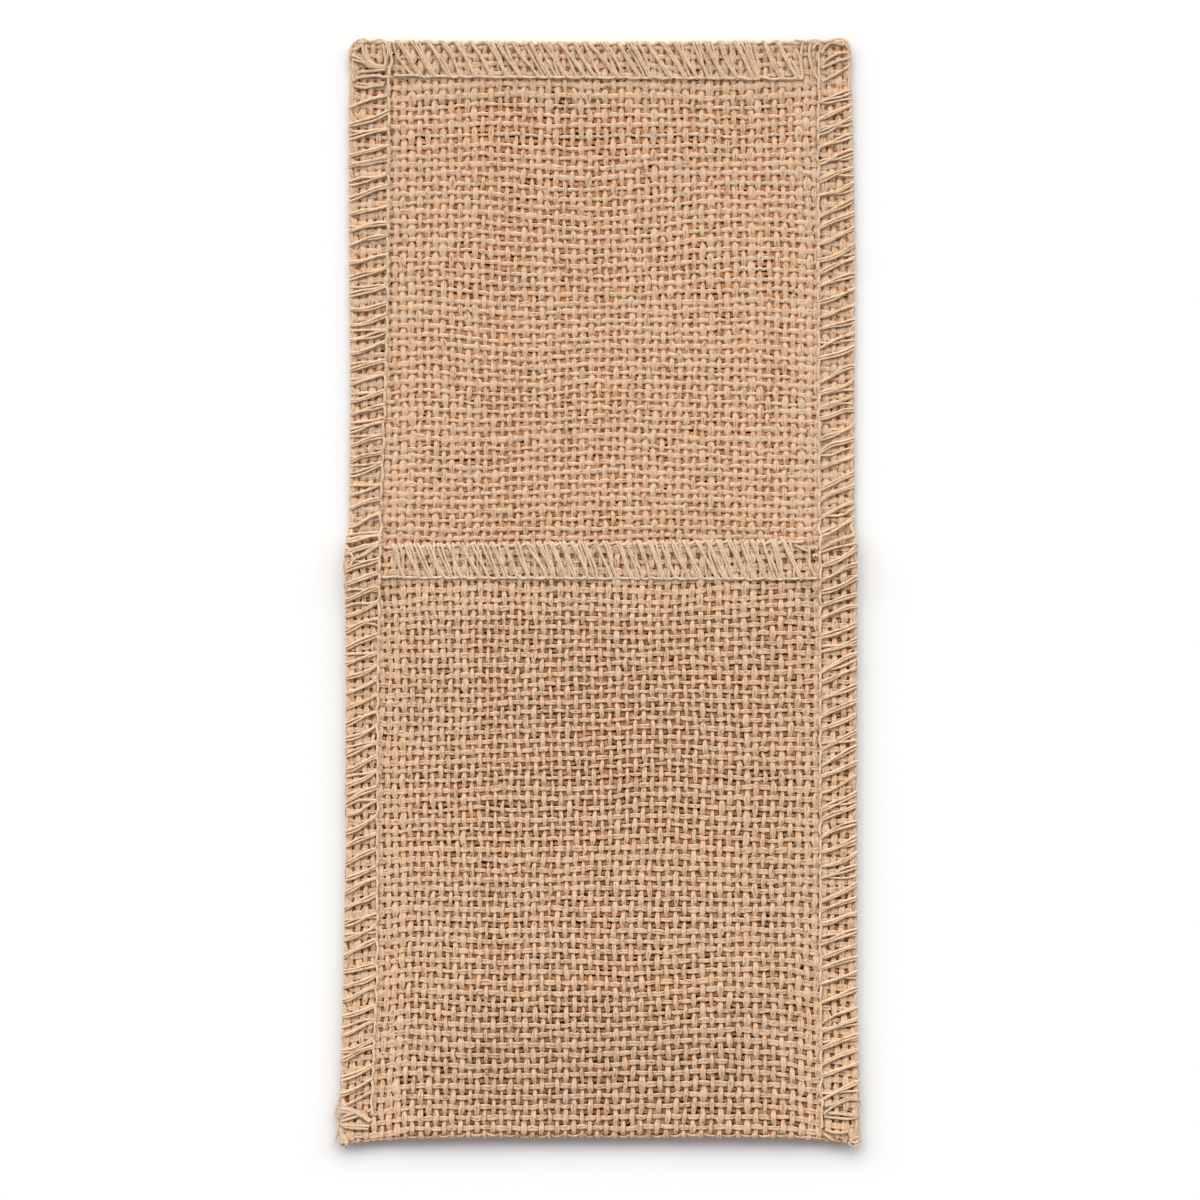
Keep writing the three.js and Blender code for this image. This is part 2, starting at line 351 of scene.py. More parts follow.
def finishMesh(name, batch, material):
    flat = layOut(batch)
    parts, offset = [], 0
    for group in batch:
        parts.append(tubeFaces(group, offset, *flat))
        offset += group["rings"][..., 0].size
    corners, sizes, flatPlaces = (np.concatenate(part) for part in zip(*parts))

    def gather(key, width=3):
        return np.concatenate([group[key].reshape(-1, width) for group in batch])

    mesh = bpy.data.meshes.new(name)
    mesh.vertices.add(offset)
    places = gather("rings") * metresPerMm
    mesh.vertices.foreach_set("co", places.astype(np.float32).ravel())
    mesh.loops.add(len(corners))
    mesh.loops.foreach_set("vertex_index", corners.astype(np.int32))
    mesh.polygons.add(len(sizes))
    mesh.polygons.foreach_set("loop_start", (np.cumsum(sizes) - sizes).astype(np.int32))
    mesh.polygons.foreach_set("use_smooth", np.ones(len(sizes), bool))
    mesh.update(calc_edges=True)
    layer = mesh.uv_layers.new(name="OFBake")
    layer.uv.foreach_set("vector", flatPlaces.astype(np.float32))
    for key in ("spot", "tone", "across", "groove", "depth"):
        kind, field, width = ("FLOAT_VECTOR", "vector", 3) if key == "spot" else ("FLOAT", "value", 1)
        values = gather(key, width).astype(np.float32).ravel()
        mesh.attributes.new(key, kind, "POINT").data.foreach_set(field, values)
    mesh.validate()
    mesh.normals_split_custom_set_from_vertices(gather("facing"))
    piece = bpy.data.objects.new(name, mesh)
    bpy.context.scene.collection.objects.link(piece)
    mesh.materials.append(material)
    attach(piece, body)
    print(name, len(sizes), "faces")
    return piece


# Materials. The colour starts at a place between dark and light, and these shares move it. Some of them
# paint shade: deep in the cloth, at a yarn's sides and in the groove between its plies, so that the palest
# colour, left on the yarns' tops, is partly painted highlight.

juteLook = {
    "dark": (0.77, 0.39, 0.15),
    "middle": (0.80, 0.525, 0.305),
    "light": (0.705, 0.55, 0.415),
    "start": 0.95,
    "deepShade": 0.8,  # painted shade: darker and browner deep in the cloth
    "flankShade": 0.0,  # painted shade: darker at a yarn's sides
    "strands": 1.0,
    "patches": 0.4,
    "grain": 0.6,
    "speckle": 2.5,  # how much strands and grain also lighten and darken
    "tone": 0.045,
    "groove": 0.6,  # painted shade between a yarn's two plies
    "bump": 0.4,
}

threadLook = {
    "dark": (0.74, 0.38, 0.155),
    "middle": (0.70, 0.495, 0.31),
    "light": (0.745, 0.59, 0.44),
    "start": 0.95,
    "deepShade": 0.4,
    # painted shade at a thread's sides
    "flankShade": 0.2,
    "strands": 1.0,
    "patches": 0.4,
    "grain": 0.7,
    "speckle": 1.6,
    "tone": 0.05,
    "groove": 0.3,
    "bump": 0.5,
}

# Dark brown, so that the hairs in the holes are also painted shade there
fuzzShadeLook = {
    "dark": (0.52, 0.24, 0.105),
    "middle": (0.69, 0.36, 0.175),
    "light": (0.80, 0.475, 0.27),
    "start": 0.45,
    "deepShade": 0.3,
    "flankShade": 0.0,
    "strands": 2.0,
    "patches": 0.5,
    "grain": 2.0,
    "speckle": 1.5,
    "tone": 0.1,
    "groove": 0.0,
    "bump": 0.5,
}

fibreGrain = {
    "strands": (0.12, 3.2, 4, 0.65),  # stretch along the yarn, scale, detail and roughness
    "grain": (0.85, 1.9, 3, 0.75),
    "patches": (0.4, 0.5, 2, 0.5),
    "deepShadePower": 2.2,
    "flankShadePower": 2.0,
    "plySway": 0.8,  # the groove between two plies wanders with the strands
    "plyLine": (0.05, 0.42),  # from the groove's middle to its end, of the yarn's half width
    "brightest": 1.03,
    "plyHeight": -1.2,
    "grainHeight": 0.5,
    "reliefDepth": 0.0003,  # in metres
}


def fibreMaterial(name, look):
    material = bpy.data.materials.new(name)
    material.use_nodes = True
    tree = material.node_tree
    shader = tree.nodes["Principled BSDF"]
    shader.inputs["Roughness"].default_value = 0.9
    shader.inputs["Specular IOR Level"].default_value = 0.15
    shader.inputs["Diffuse Roughness"].default_value = 1.0
    shader.inputs["Sheen Weight"].default_value = 0.1
    shader.inputs["Sheen Roughness"].default_value = 0.6
    shader.inputs["Sheen Tint"].default_value = (1.0, 0.88, 0.76, 1.0)

    def node(kind, inputs=(), **settings):
        made = tree.nodes.new(kind)
        for key, value in settings.items():
            setattr(made, key, value)
        for key, value in dict(inputs).items():
            if isinstance(value, bpy.types.NodeSocket):
                tree.links.new(value, made.inputs[key])
            else:
                made.inputs[key].default_value = value
        return made.outputs

    def attribute(key):
        return node("ShaderNodeAttribute", attribute_name=key)

    def maths(operation, *values):
        return node("ShaderNodeMath", dict(enumerate(values)), operation=operation)[0]

    def noise(stretch, scale, detail, roughness):
        spot = attribute("spot")["Vector"]
        stretched = node("ShaderNodeVectorMath", {0: spot, 1: (stretch, 1, 1)}, operation="MULTIPLY")[0]
        found = {"Vector": stretched, "Scale": scale, "Detail": detail, "Roughness": roughness}
        return maths("SUBTRACT", node("ShaderNodeTexNoise", found)["Fac"], 0.5)

    strands, grain, patches = (noise(*fibreGrain[key]) for key in ("strands", "grain", "patches"))
    # Painted shade: the deeper a point lies in the cloth, the darker and browner its colour
    buried = maths("SUBTRACT", 1.0, maths("MINIMUM", attribute("depth")["Fac"], 1.0))
    inside = maths("POWER", buried, fibreGrain["deepShadePower"])
    sway = maths("MULTIPLY", strands, fibreGrain["plySway"])
    across = maths("ABSOLUTE", maths("ADD", attribute("across")["Fac"], sway))
    middle, end = fibreGrain["plyLine"]
    ramped = {"Value": across, "From Min": middle, "From Max": end, "To Min": 1.0, "To Max": 0.0}
    line = node("ShaderNodeMapRange", ramped, interpolation_type="SMOOTHSTEP")["Result"]
    # The groove between two plies sinks the relief and also paints shade into the colour
    groove = maths("MULTIPLY", line, attribute("groove")["Fac"])
    # Painted shade on a yarn's sides, away from its middle
    flankShade = maths("POWER", maths("MINIMUM", across, 1.0), fibreGrain["flankShadePower"])

    level = look["start"]
    for value, share in (
        (inside, -look["deepShade"]),
        (flankShade, -look["flankShade"]),
        (strands, look["strands"]),
        (patches, look["patches"]),
        (grain, look["grain"]),
        (attribute("tone")["Fac"], look["tone"]),
        (groove, -look["groove"]),
    ):
        level = maths("MULTIPLY_ADD", value, share, level)
    ramp = tree.nodes.new("ShaderNodeValToRGB")
    ramp.color_ramp.elements.new(0.5)
    for element, key in zip(ramp.color_ramp.elements, ("dark", "middle", "light")):
        element.color = (*look[key], 1)
    tree.links.new(level, ramp.inputs["Fac"])
    speckle = maths("MULTIPLY_ADD", maths("ADD", strands, grain), look["speckle"], 1.0)
    speckle = maths("MINIMUM", speckle, fibreGrain["brightest"])
    colour = node("ShaderNodeVectorMath", {0: ramp.outputs["Color"], 3: speckle}, operation="SCALE")[0]
    tree.links.new(colour, shader.inputs["Base Color"])

    height = maths("MULTIPLY_ADD", grain, fibreGrain["grainHeight"], strands)
    height = maths("MULTIPLY_ADD", groove, fibreGrain["plyHeight"], height)
    raised = {"Height": height, "Strength": look["bump"], "Distance": fibreGrain["reliefDepth"]}
    tree.links.new(node("ShaderNodeBump", raised)["Normal"], shader.inputs["Normal"])
    return material


juteMaterial = fibreMaterial("juteYarn", juteLook)
threadMaterial = fibreMaterial("overlockThread", threadLook)
fuzzShadeMaterial = fibreMaterial("juteFuzzShade", fuzzShadeLook)

# The weave. Warps run along the strip and wefts across it, and each crossing has its own place.

weave = {
    "warps": 62,
    "rim": 0.22,  # of a pitch, from the outermost warp to the cut edge
    "pocketShift": 0.026,  # the pocket's left half is the denser one
    "firstWeft": 0.6,  # from the strip's top end
    "lastWeft": 1.6,  # and from its other end
    "weftPitch": [  # mm along the strip, and the pitch there
        (0, 2.17), (50, 2.17), (62, 2.03), (112, 2.03), (236, 2.2), (242, 2.32),
        (270, 2.30), (280, 2.18), (318, 2.18), (330, 2.07), (371, 2.07),
    ],
    "pitchShake": 0.055,
    "usualPitch": (2.1, 1.8),  # of the wefts and of the warps
    "crimp": (0.22, 0.27),  # how far a yarn's middle rises and falls, on the back panel and on the pocket
    "pressedCrimp": 0.22,
    "dwell": 0.7,  # below 1, a yarn keeps to its highest and lowest places for longer
    "drift": 0.55,  # the whole cloth's yarns wander together
    "driftAcross": 0.6,  # of that drift
    "driftWave": 42.0,
    "calm": ((0, 5), (371, 366)),  # where the wefts start to wander, from either end of the strip
    "ownDrift": (0.16, 0.208),  # a warp and a weft also wander by themselves
    "ownWave": (16.0, 18.0),
    "jitter": 0.07,
    "seamWidth": 0.22,  # thicker by, under the stitches
    "loose": [(5, -27, 17, 0.20), (4, -81, 12, 0.14), (-30, -50, 12, 0.10)],  # x, y, reach and thinner by
    "hiddenFrom": 113.0,  # the back panel under the pocket
    "hiddenTo": 231.0,
    "warpSamples": (4, 2),  # for each crossing, where the cloth shows from above and where it is hidden
    "weftSamples": (3, 2),
    "sides": (5, 4),  # of a tube, in the same places
    "warpEnds": (-0.25, 0.3),  # of a pitch, from the first and the last weft to the warps' ends
    "warpPieces": 4,
    "roughness": 0.06,  # uneven outlines of the yarns
    "seed": 5,
}

yarnShape = {
    "warpWidth": (1.36, 1.46),  # on the back panel and on the pocket
    "weftWidth": (1.14, 1.38),
    "warpUnder": 0.58,  # of its full width, where it goes under a weft
    "weftUnder": 0.78,
    "spread": (0.15, 0.13),  # from warp to warp and from weft to weft
    "uneven": 0.2,  # along a yarn
    "unevenWave": (9.0, 11.0),
    "shake": 0.07,  # from crossing to crossing
    "limits": (0.5, 1.5),
    "warpThick": 0.80,
    "weftThick": 0.55,
    "thickMix": (0.85, 0.15),  # a steady part, and one that follows the width
    "pressedThick": 0.88,
    "warpRise": 1.14,  # of the crimp
    "weftRise": 0.86,
    "warpTone": (-1.0, -1.0),
    "weftTone": (3.0, 2.0),
    "toneSpread": 0.5,
    "toneWave": 30.0,
    "sink": 0.3,
    "groove": (0.40, 0.85),
    "warpGroove": -0.1,  # deeper by, than a weft's
    "grooveSpread": 0.25,
    "patchWave": 26.0,
    "patchGroove": 0.10,
    "patchTone": 0.4,
}

# Wide strands in the rows of holes, which also act as painted shade there
fuzzShade = {
    "sides": 3,
    "backWidth": 2.5,
    "underWidth": 1.9,
    "pocketWidth": 1.0,
    "spread": 0.25,
    "limits": (0.1, 1.35),  # of its usual width
    "thickMix": (0.1, 0.1),
    "wander": 0.12,
    "sink": 0.40,  # below the cloth's middle, seen from above
    "sinkShake": 0.07,
    "tone": (0, 1.5),
    "tilt": 0.2,
    "mostTilt": 0.35,
}


def weftPlaces():
    table = np.array(weave["weftPitch"])
    draw = np.random.default_rng(weave["seed"])
    places = [weave["firstWeft"]]
    while places[-1] < clothLength - weave["lastWeft"]:
        pitch = np.interp(places[-1], table[:, 0], table[:, 1])
        places.append(places[-1] + pitch * draw.normal(1, weave["pitchShake"]))
    return np.array(places)


# 0 on the back panel and 1 on the pocket
def onPocket(along):
    start, blend = cloth["backLength"], cloth["foldBlend"]
    return ease(start - blend, start + blend, along)


# Where every crossing lies, by weft and warp
def crossings():
    seed, warps = weave["seed"], weave["warps"]
    draw = np.random.default_rng(seed + 1)
    along = weftPlaces()
    across = (np.arange(warps) + weave["rim"]) / (warps - 1 + 2 * weave["rim"])
    together = [unevenField(seed + 10 + k, weave["driftWave"]) for k in range(2)]
    alongGrid, acrossGrid = np.meshgrid(along, across * clothWidth, indexing="ij")
    (warpDrift, weftDrift), (warpWave, weftWave) = weave["ownDrift"], weave["ownWave"]
    ownAcross = unevenLines(seed + 20, warps, along, warpWave).T * warpDrift
    ownAlong = unevenLines(seed + 21, len(along), across * clothWidth, weftWave) * weftDrift
    shakes = draw.normal(0, weave["jitter"], (2, len(along), warps))
    calm = ease(*weave["calm"][0], alongGrid) * ease(*weave["calm"][1], alongGrid)
    driftAcross = weave["drift"] * weave["driftAcross"] * together[0](acrossGrid, alongGrid)
    driftAlong = weave["drift"] * together[1](acrossGrid, alongGrid)
    moreAcross = driftAcross + ownAcross + shakes[0]
    moreAlong = driftAlong * calm + ownAlong * calm + shakes[1]
    share = acrossGrid / clothWidth
    share = share - weave["pocketShift"] * np.sin(math.pi * share) * onPocket(alongGrid)
    return share + moreAcross / clothWidth, alongGrid + moreAlong


# The places of the crossings across and along, and the yarns' widths, grooves and tones there, once for
# the warps and once for the wefts
def yarnGrids(draw):
    acrossGrid, alongGrid = crossings()
    rows, warps = acrossGrid.shape
    seed = weave["seed"]
    pocketShare = onPocket(alongGrid)
    patch = unevenField(seed + 30, yarnShape["patchWave"])(acrossGrid * clothWidth, alongGrid)
    weftPitch, warpPitch = weave["usualPitch"]
    rowSteps, warpSteps = np.arange(rows) * weftPitch, np.arange(warps) * warpPitch

    x = (acrossGrid - 0.5) * clothWidth
    y = mix(pouch["fold"], pouch["mouth"], (alongGrid - cloth["backLength"]) / cloth["frontLength"])
    thinner = 0
    for placeX, placeY, reach, share in weave["loose"]:
        thinner = thinner + share * np.exp(-((x - placeX) ** 2 + (y - placeY) ** 2) / (2 * reach * reach))
    inward = np.minimum(pouch["halfWidth"] - np.abs(x), np.minimum(alongGrid, alongGrid.max() - alongGrid))
    thicker = weave["seamWidth"] * pressedAt(inward)

    def widthGrid(widths, yarnFactor, own):
        base = mix(*widths, pocketShare) * (1 - thinner * pocketShare + thicker)
        shake = draw.normal(0, yarnShape["shake"], base.shape)
        return base * np.clip(yarnFactor * (1 + yarnShape["uneven"] * own + shake), *yarnShape["limits"])

    def toneGrid(tones, shape, own):
        shake = draw.normal(0, yarnShape["toneSpread"], shape)
        return mix(*tones, pocketShare) + shake + own + yarnShape["patchTone"] * patch

    warpFactor = draw.normal(1, yarnShape["spread"][0], (1, warps))
    weftFactor = draw.normal(1, yarnShape["spread"][1], (rows, 1))
    own = unevenLines(seed + 40, warps, rowSteps, yarnShape["unevenWave"][0]).T
    warpWidth = widthGrid(yarnShape["warpWidth"], warpFactor, own)
    own = unevenLines(seed + 41, rows, warpSteps, yarnShape["unevenWave"][1])
    weftWidth = widthGrid(yarnShape["weftWidth"], weftFactor, own)
    groove = mix(*yarnShape["groove"], pocketShare) + yarnShape["patchGroove"] * patch
    shakes = draw.normal(0, yarnShape["grooveSpread"], (2, *groove.shape))
    warpGroove = np.clip(groove + yarnShape["warpGroove"] + shakes[0], 0, 1)
    weftGroove = np.clip(groove + shakes[1], 0, 1)
    own = unevenLines(seed + 50, warps, rowSteps, yarnShape["toneWave"]).T
    warpTone = toneGrid(yarnShape["warpTone"], (1, warps), own)
    own = unevenLines(seed + 51, rows, warpSteps, yarnShape["toneWave"])
    weftTone = toneGrid(yarnShape["weftTone"], (rows, 1), own)
    places = (acrossGrid, alongGrid)
    return (*places, warpWidth, warpGroove, warpTone), (*places, weftWidth, weftGroove, weftTone)


def sidewaysOf(centre, normal):
    return unit(np.cross(normal, np.gradient(centre, axis=0)))


# Reads the grids at places along their first axis and adds a tube for each of the yarns that they hold
def addYarns(batch, draw, grids, places, sides, parity, kind):
    across, along, width, grooves, tones = (smoothRead(grid, places) for grid in grids)
    centre, normal = stripFrame(across, along)
    phase = np.cos(math.pi * (places[:, None] + np.arange(across.shape[1])[None, :] + parity))
    rise = np.sign(phase) * np.abs(phase) ** weave["dwell"]
    seamPress = pressedAt(sideDistance(centre[..., 0], centre[..., 1]))
    crimp = mix(mix(*weave["crimp"], onPocket(along)), weave["pressedCrimp"], seamPress)
    rise = rise * (crimp * yarnShape[kind + "Rise"])
    centre = centre + normal * rise[..., None]
    outward = 0.5 + 0.5 * phase * (1 - 2 * onPocket(along))
    width = width * mix(yarnShape[kind + "Under"], 1, outward)
    width = width * draw.normal(1, weave["roughness"], width.shape)
    shift = draw.normal(0, weave["roughness"], width.shape)
    centre = centre + sidewaysOf(centre, normal) * shift[..., None]
    steady, follows = yarnShape["thickMix"]
    thick = yarnShape[kind + "Thick"] * (steady + follows * width)
    thick = thick * mix(1, yarnShape["pressedThick"], seamPress)
    sink = yarnShape["sink"] * (1 - 2 * onPocket(along))
    grids = (centre, normal, width, thick, tones, grooves, rise, sink)
    centre, normal, width, thick, *rest = (np.swapaxes(grid, 0, 1) for grid in grids)
    addTubes(batch, centre, normal, width, thick, sides, *rest)


# The warps, in groups side by side
def buildWarps(draw, grids, lower):
    rows, warps = grids[0].shape
    fine, coarse = weave["warpSamples"]
    before, after = weave["warpEnds"]
    places = [before]
    for row in range(rows):
        parts = coarse if row in lower else fine
        places += [row + part / parts for part in range(parts)]
    places = np.array([place for place in places if place < rows - 1 + after])
    groups = np.array_split(np.arange(warps), weave["warpPieces"])
    pieces = []
    for number, group in enumerate(groups):
        batch = []
        chosen = [grid[:, group] for grid in grids]
        addYarns(batch, draw, chosen, places, weave["sides"][0], group[0] % 2, "warp")
        pieces.append(finishMesh(f"warpYarns{number + 1}", batch, juteMaterial))
    return pieces, groups


def buildWefts(draw, grids, upper, lower, pocket):
    warps = grids[0].shape[1]
    sides, fewSides = weave["sides"]
    fine, coarse = (np.arange(-1, parts * (warps - 1) + 2) / parts for parts in weave["weftSamples"])
    low, high = np.array_split(pocket, 2)
    pieces = []
    for name, chosen, tubeSides, places in (
        ("weftYarnsBack", upper, sides, fine),
        ("weftYarnsUnderPocket", lower, fewSides, coarse),
        ("weftYarnsPocketLow", low, sides, fine),
        ("weftYarnsPocketHigh", high, sides, fine),
    ):
        batch = []
        parity = 1 + chosen[0] % 2
        addYarns(batch, draw, [grid[chosen].T for grid in grids], places, tubeSides, parity, "weft")
        pieces.append(finishMesh(name, batch, juteMaterial))
    return pieces


# Loose hairs that lie in the holes between two wefts, as one uneven strand for each row of holes. They are
# wide and dark brown, so that they also stand in as painted shade in the holes.
def buildFuzzShade(acrossGrid, alongGrid, upper, lower, pocket):
    draw = np.random.default_rng(weave["seed"] + 60)
    places = np.arange(0, 2 * weave["warps"] - 1) / 2
    for name, chosen, width in (
        ("fuzzBack", upper, fuzzShade["backWidth"]),
        ("fuzzUnderPocket", lower, fuzzShade["underWidth"]),
        ("fuzzPocket", pocket[:-1], fuzzShade["pocketWidth"]),
    ):
        between = [((grid[chosen] + grid[chosen + 1]) / 2).T for grid in (acrossGrid, alongGrid)]
        across, along = (smoothRead(grid, places) for grid in between)
        along = along + draw.normal(0, fuzzShade["wander"], along.shape)
        centre, normal = stripFrame(across, along)
        rise = (2 * onPocket(along) - 1) * fuzzShade["sink"] + draw.normal(0, fuzzShade["sinkShake"], along.shape)
        centre = centre + normal * rise[..., None]
        lean = np.clip(draw.normal(0, fuzzShade["tilt"], along.shape), -fuzzShade["mostTilt"], fuzzShade["mostTilt"])
        tilt = sidewaysOf(centre, normal) * lean[..., None]
        size = width * np.clip(draw.lognormal(0, fuzzShade["spread"], along.shape), *fuzzShade["limits"])
        steady, follows = fuzzShade["thickMix"]
        tones = draw.normal(*fuzzShade["tone"], along.shape)
        grids = (centre, normal + tilt, size, steady + follows * size, tones, rise)
        centre, up, size, thick, tones, rise = (np.swapaxes(grid, 0, 1) for grid in grids)
        batch = []
        addTubes(batch, centre, up, size, thick, fuzzShade["sides"], tones, 0.0, rise)
        finishMesh(name, batch, fuzzShadeMaterial)


def buildWeave():
    draw = np.random.default_rng(weave["seed"] + 2)
    warpGrids, weftGrids = yarnGrids(draw)
    along = warpGrids[1].mean(axis=1)
    upper = np.flatnonzero(along <= weave["hiddenFrom"])
    lower = np.flatnonzero((along > weave["hiddenFrom"]) & (along < weave["hiddenTo"]))
    pocket = np.flatnonzero(along >= weave["hiddenTo"])
    pieces, warpGroups = buildWarps(draw, warpGrids, lower)
    pieces += buildWefts(draw, weftGrids, upper, lower, pocket)
    buildFuzzShade(*warpGrids[:2], upper, lower, pocket)
    return pieces, warpGroups


yarnPieces, warpGroups = buildWeave()
print("weave made")

# The overlock stitches along both sides, the top and the mouth

needleLines = {
    "sides": [  # height, left and right
        (109, -45.6, 47.6),
        (57, -46.0, 47.7),
        (31, -46.9, 47.8),
        (18, -47.35, 47.9),
        (5, -47.6, 48.0),
        (-21, -48.0, 48.0),
        (-86, -48.2, 48.05),
        (-99, -48.9, 48.2),
        (-112, -49.1, 48.2),
    ],
    "top": (112.1, 111.4),  # at the left and at the right
    "mouth": (3.3, 2.9),
}

stitches = {
    "radius": 0.32,
    "sides": 5,  # of a thread's tube
    "sizes": (0.85, 1.15),
    "flatness": 0.94,
    "toneSpread": 0.9,
    "pitchShake": 0.08,  # of the pitch
    "leanShake": 0.17,
    "underLean": 0.75,  # of its lean, on the back
    "edgeGap": 0.52,  # between the two strands of a pair, at the edge and at the needle line
    "needleGap": 0.34,
    "pairShake": 0.11,
    "pairBow": 0.1,
    "pairRaised": (0.02, 0.18),
    "swerve": 0.13,
    "thirdPlace": (0.3, 0.65),  # of a pitch, from its pair
    "thirdLean": 0.6,  # the shares of the pair's lean spread this far
    "thirdBow": 0.35,
    "thirdSunk": 0.04,
    "lift": 0.08,
    "layerHalf": 0.52,  # from a layer's middle to its yarns' tops
    "mouthStep": (4.5, 0.3),  # from above to below the mouth, where a thread climbs onto the pocket
    "mouthInset": 0.5,  # above the mouth, the front's height is the height this far below its edge
    "seed": 41,
}

# Where the stitches run along each edge, how far they lean between the edge and the needle line, and how
# often a third strand lies beside a pair and how much less it leans. The rope is the pair of threads
# that link up around the edge: from, to, inset and size.
runs = {
    "left": {
        "from": -109.0, "to": 108.5, "pitch": 3.3, "tone": -4.0, "thirds": 0.4, "thirdLean": 0.05,
        "bow": 0.28, "lean": [(-120, 3.1), (0, 2.9), (20, 2.3), (120, 2.2)],
        "needle": (-113.0, 111.5), "rope": (-111.5, 119.2, 0.36, 1.25),
    },
    "right": {
        "from": -106.0, "to": 112.0, "pitch": 3.3, "tone": -4.0, "thirds": 0.4, "thirdLean": 0.1,
        "bow": 0.28, "lean": [(-120, -3.3), (0, -3.1), (40, -2.9), (120, -2.8)],
        "needle": (-116.0, 117.0), "rope": (-117.5, 119.0, 0.36, 1.25),
    },
    "top": {
        "from": -43.5, "to": 42.0, "pitch": 3.1, "tone": -2.5, "thirds": 0.7, "thirdLean": 0.35,
        "bow": 0.28, "lean": [(-50, 4.4), (0, 4.7), (50, 4.0)],
        "needle": (-44.5, 43.0), "rope": (-52.4, 53.6, 0.36, 1.25),
    },
    "mouth": {
        "from": -44.5, "to": 42.5, "pitch": 2.4, "tone": 0.5, "thirds": 0.75, "thirdLean": 0.0,
        "bow": 0.13, "lean": [(-50, 3.0), (0, 3.3), (50, 3.2)],
        "needle": (-47.0, 47.6), "rope": (-46.5, 44.5, 0.50, 1.0),
    },
}


def needleAt(name, t):
    if name in ("left", "right"):
        rows = np.array(needleLines["sides"])[::-1]
        return np.interp(t, rows[:, 0], rows[:, 1 if name == "left" else 2])
    start, end = needleLines[name]
    return mix(start, end, (t + pouch["halfWidth"]) / clothWidth)


def outlineAt(name, t):
    if name in ("left", "right"):
        return sideAt(1 if name == "left" else 2, t)
    return topEdge(t) if name == "top" else mouthEdge(t)


# One mm inwards as a share of the band's width
def inwardsAt(name, t):
    return 1 / np.abs(outlineAt(name, t) - needleAt(name, t))


# The lowest and highest places of a thread's middle over the cloth at a point
def threadHeights(x, y, pocketSide=False):
    lift = stitches["layerHalf"] + stitches["lift"]
    above, below = stitches["mouthStep"]
    onPocketPart = ease(pouch["mouth"] + above, pouch["mouth"] - below, y - pouch["mouthSlant"] * x)
    back = backMiddle(x, y)
    front = frontMiddle(x, np.minimum(y, mouthEdge(x) - stitches["mouthInset"]))
    top = mix(back, front, onPocketPart) + lift
    low = front - lift if pocketSide else back - lift
    return low, top


# t runs along the edge, share from it to the needle line, and level from the back to the front
def bandPoints(name, t, share, level, raised=0.0):
    crossing = mix(outlineAt(name, t), needleAt(name, t), share)
    x, y = (crossing, t) if name in ("left", "right") else (t, crossing)
    low, top = threadHeights(x, y, name == "mouth")
    return np.stack([x, y, mix(low, top, level) + raised], axis=-1)


# One strand from the needle line over the edge and back along the other face: shares of the band's
# width, and levels between the two faces
strandPath = np.array([
    (1.03, 0.86), (0.97, 0.97), (0.85, 1), (0.71, 1), (0.57, 1), (0.43, 1), (0.30, 1), (0.19, 1),
    (0.10, 0.99), (0.03, 0.86), (-0.006, 0.62), (-0.006, 0.38), (0.04, 0.14), (0.12, 0.01),
    (0.28, 0), (0.5, 0), (0.74, 0), (0.98, 0.08),
])
topCount = 10  # of these points are on the front


def sewPairs(batch, name, run):
    draw = np.random.default_rng(stitches["seed"] + len(name) * 7)
    count = int((run["to"] - run["from"]) / run["pitch"])
    pitch = (run["to"] - run["from"]) / count
    edge = run["from"] + pitch * (np.arange(count) + draw.normal(0, stitches["pitchShake"], count))
    leans = np.array(run["lean"])
    lean = np.interp(edge, leans[:, 0], leans[:, 1]) * draw.normal(1, stitches["leanShake"], count)
    up = (0, 1, 0) if name in ("left", "right") else (1, 0, 0)
    share, level = strandPath.T[:, None, :]
    arch = np.sin(math.pi * np.clip(share, 0, 1))
    sway = np.sin(2 * math.pi * np.clip(share, 0, 1))
    onTop = np.arange(len(strandPath)) < topCount

    def strands(atEdge, leaning, gaps, bow, raised):
        swing = np.where(onTop, 1.0, stitches["underLean"]) * leaning[:, None]
        t = atEdge[:, None] + swing * share + mix(gaps[0][:, None], gaps[1][:, None], share)
        swerve = draw.normal(0, stitches["swerve"], (len(atEdge), 1)) * sway
        t = t + bow[:, None] * arch + swerve
        centre = bandPoints(name, t, share, level, raised[:, None] * arch ** 0.5)
        size = 2 * stitches["radius"] * draw.uniform(*stitches["sizes"], (len(atEdge), 1))
        tone = draw.normal(run["tone"], stitches["toneSpread"], (len(atEdge), 1))
        addTubes(batch, centre, up, size, size * stitches["flatness"], stitches["sides"], tone)

    bow = draw.normal(0, run["bow"], count)
    for sign in (-0.5, 0.5):
        gaps = [
            sign * stitches[key] + draw.normal(0, stitches["pairShake"], count)
            for key in ("edgeGap", "needleGap")
        ]
        ownBow = bow + draw.normal(0, stitches["pairBow"], count)
        strands(edge, lean, gaps, ownBow, draw.uniform(*stitches["pairRaised"], count))
    chosen = np.flatnonzero(draw.random(count) < run["thirds"])
    beside = np.sign(lean[chosen]) * pitch * draw.uniform(*stitches["thirdPlace"], len(chosen))
    least = run["thirdLean"]
    thirdLean = lean[chosen] * draw.uniform(least, least + stitches["thirdLean"], len(chosen))
    zero = np.zeros(len(chosen))
    thirdBow = draw.normal(0, stitches["thirdBow"], len(chosen))
    strands(edge[chosen] + beside, thirdLean, (zero, zero), thirdBow, zero - stitches["thirdSunk"])
    return edge, lean


# The needle thread dips where a stitch goes through the cloth and bows between

needleThread = {
    "step": 0.46,
    "hole": 0.5,
    "faces": [(1, 0.30, -0.42), (0, -0.22, 0.28)],  # front and back: raised by, and more by in a hole
    "bow": 0.24,
    "wander": 0.14,
    "wanderWave": 5.0,
    "size": 0.88,  # of a stitch's thread
    "thinner": 0.2,  # in a hole
    "uneven": 0.1,
    "unevenWave": 2.5,
    "flatness": 0.9,
    "tone": 1.0,
}


